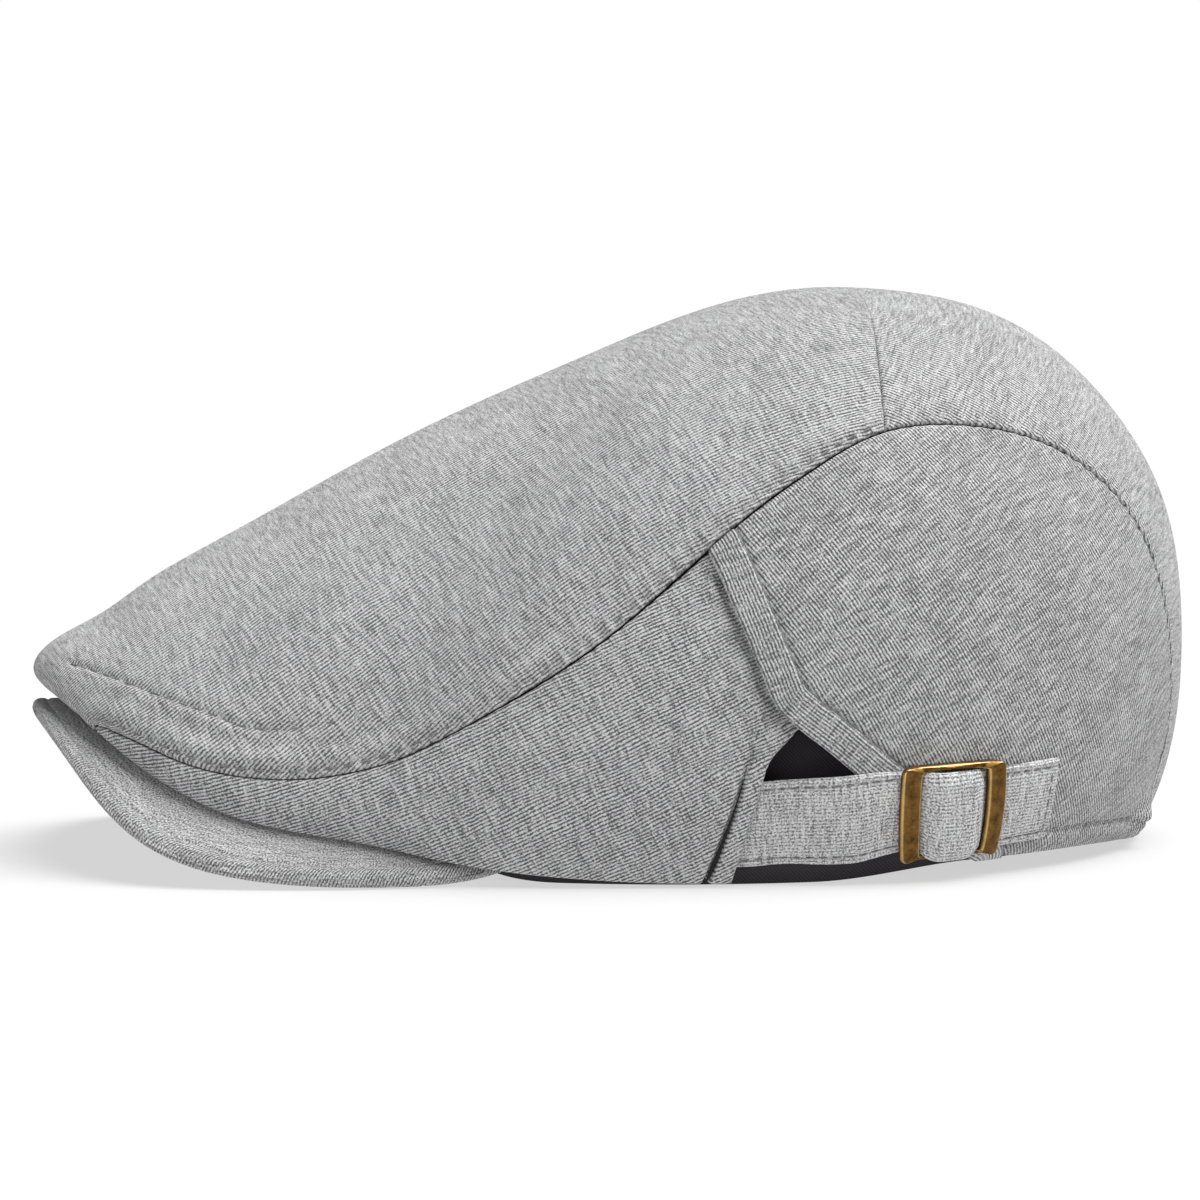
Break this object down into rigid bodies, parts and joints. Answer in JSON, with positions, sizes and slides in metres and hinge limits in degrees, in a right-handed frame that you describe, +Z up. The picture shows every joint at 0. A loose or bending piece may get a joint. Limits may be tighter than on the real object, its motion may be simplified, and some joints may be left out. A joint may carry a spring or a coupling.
{
  "type": "flat cap",
  "caption": "Low flat cap in heather grey jersey with a domed crown that slopes to a short arched brim, black inner band, and a strap with a brass slide buckle over a cut-out on each side",
  "frame": {"origin": "centre of the base of the bounding box, on the table that the cap rests on", "axes": "+X towards the back of the head and -X towards the brim, +Z up, +Y the wearer's right"},
  "size_m": [0.2818, 0.186, 0.135],
  "materials": {
    "grey_jersey": "matte heather knit with fine ribs",
    "brim_jersey": "matte heather knit over a stiff board",
    "strap_jersey": "matte heather knit, folded double",
    "black_band": "matte black cotton",
    "antique_brass": "antique, darkened in the recesses and worn bright on the edges"
  },
  "bodies": {
    "root": {"top_panel": "grey_jersey", "back_strip": "grey_jersey", "side_front_left": "grey_jersey", "side_front_right": "grey_jersey", "side_back_left": "grey_jersey", "side_back_right": "grey_jersey", "brim": "brim_jersey", "sweatband": "black_band", "strap_left": "strap_jersey", "strap_right": "strap_jersey", "buckle_left": "antique_brass", "buckle_right": "antique_brass"}
  },
  "joints": []
}
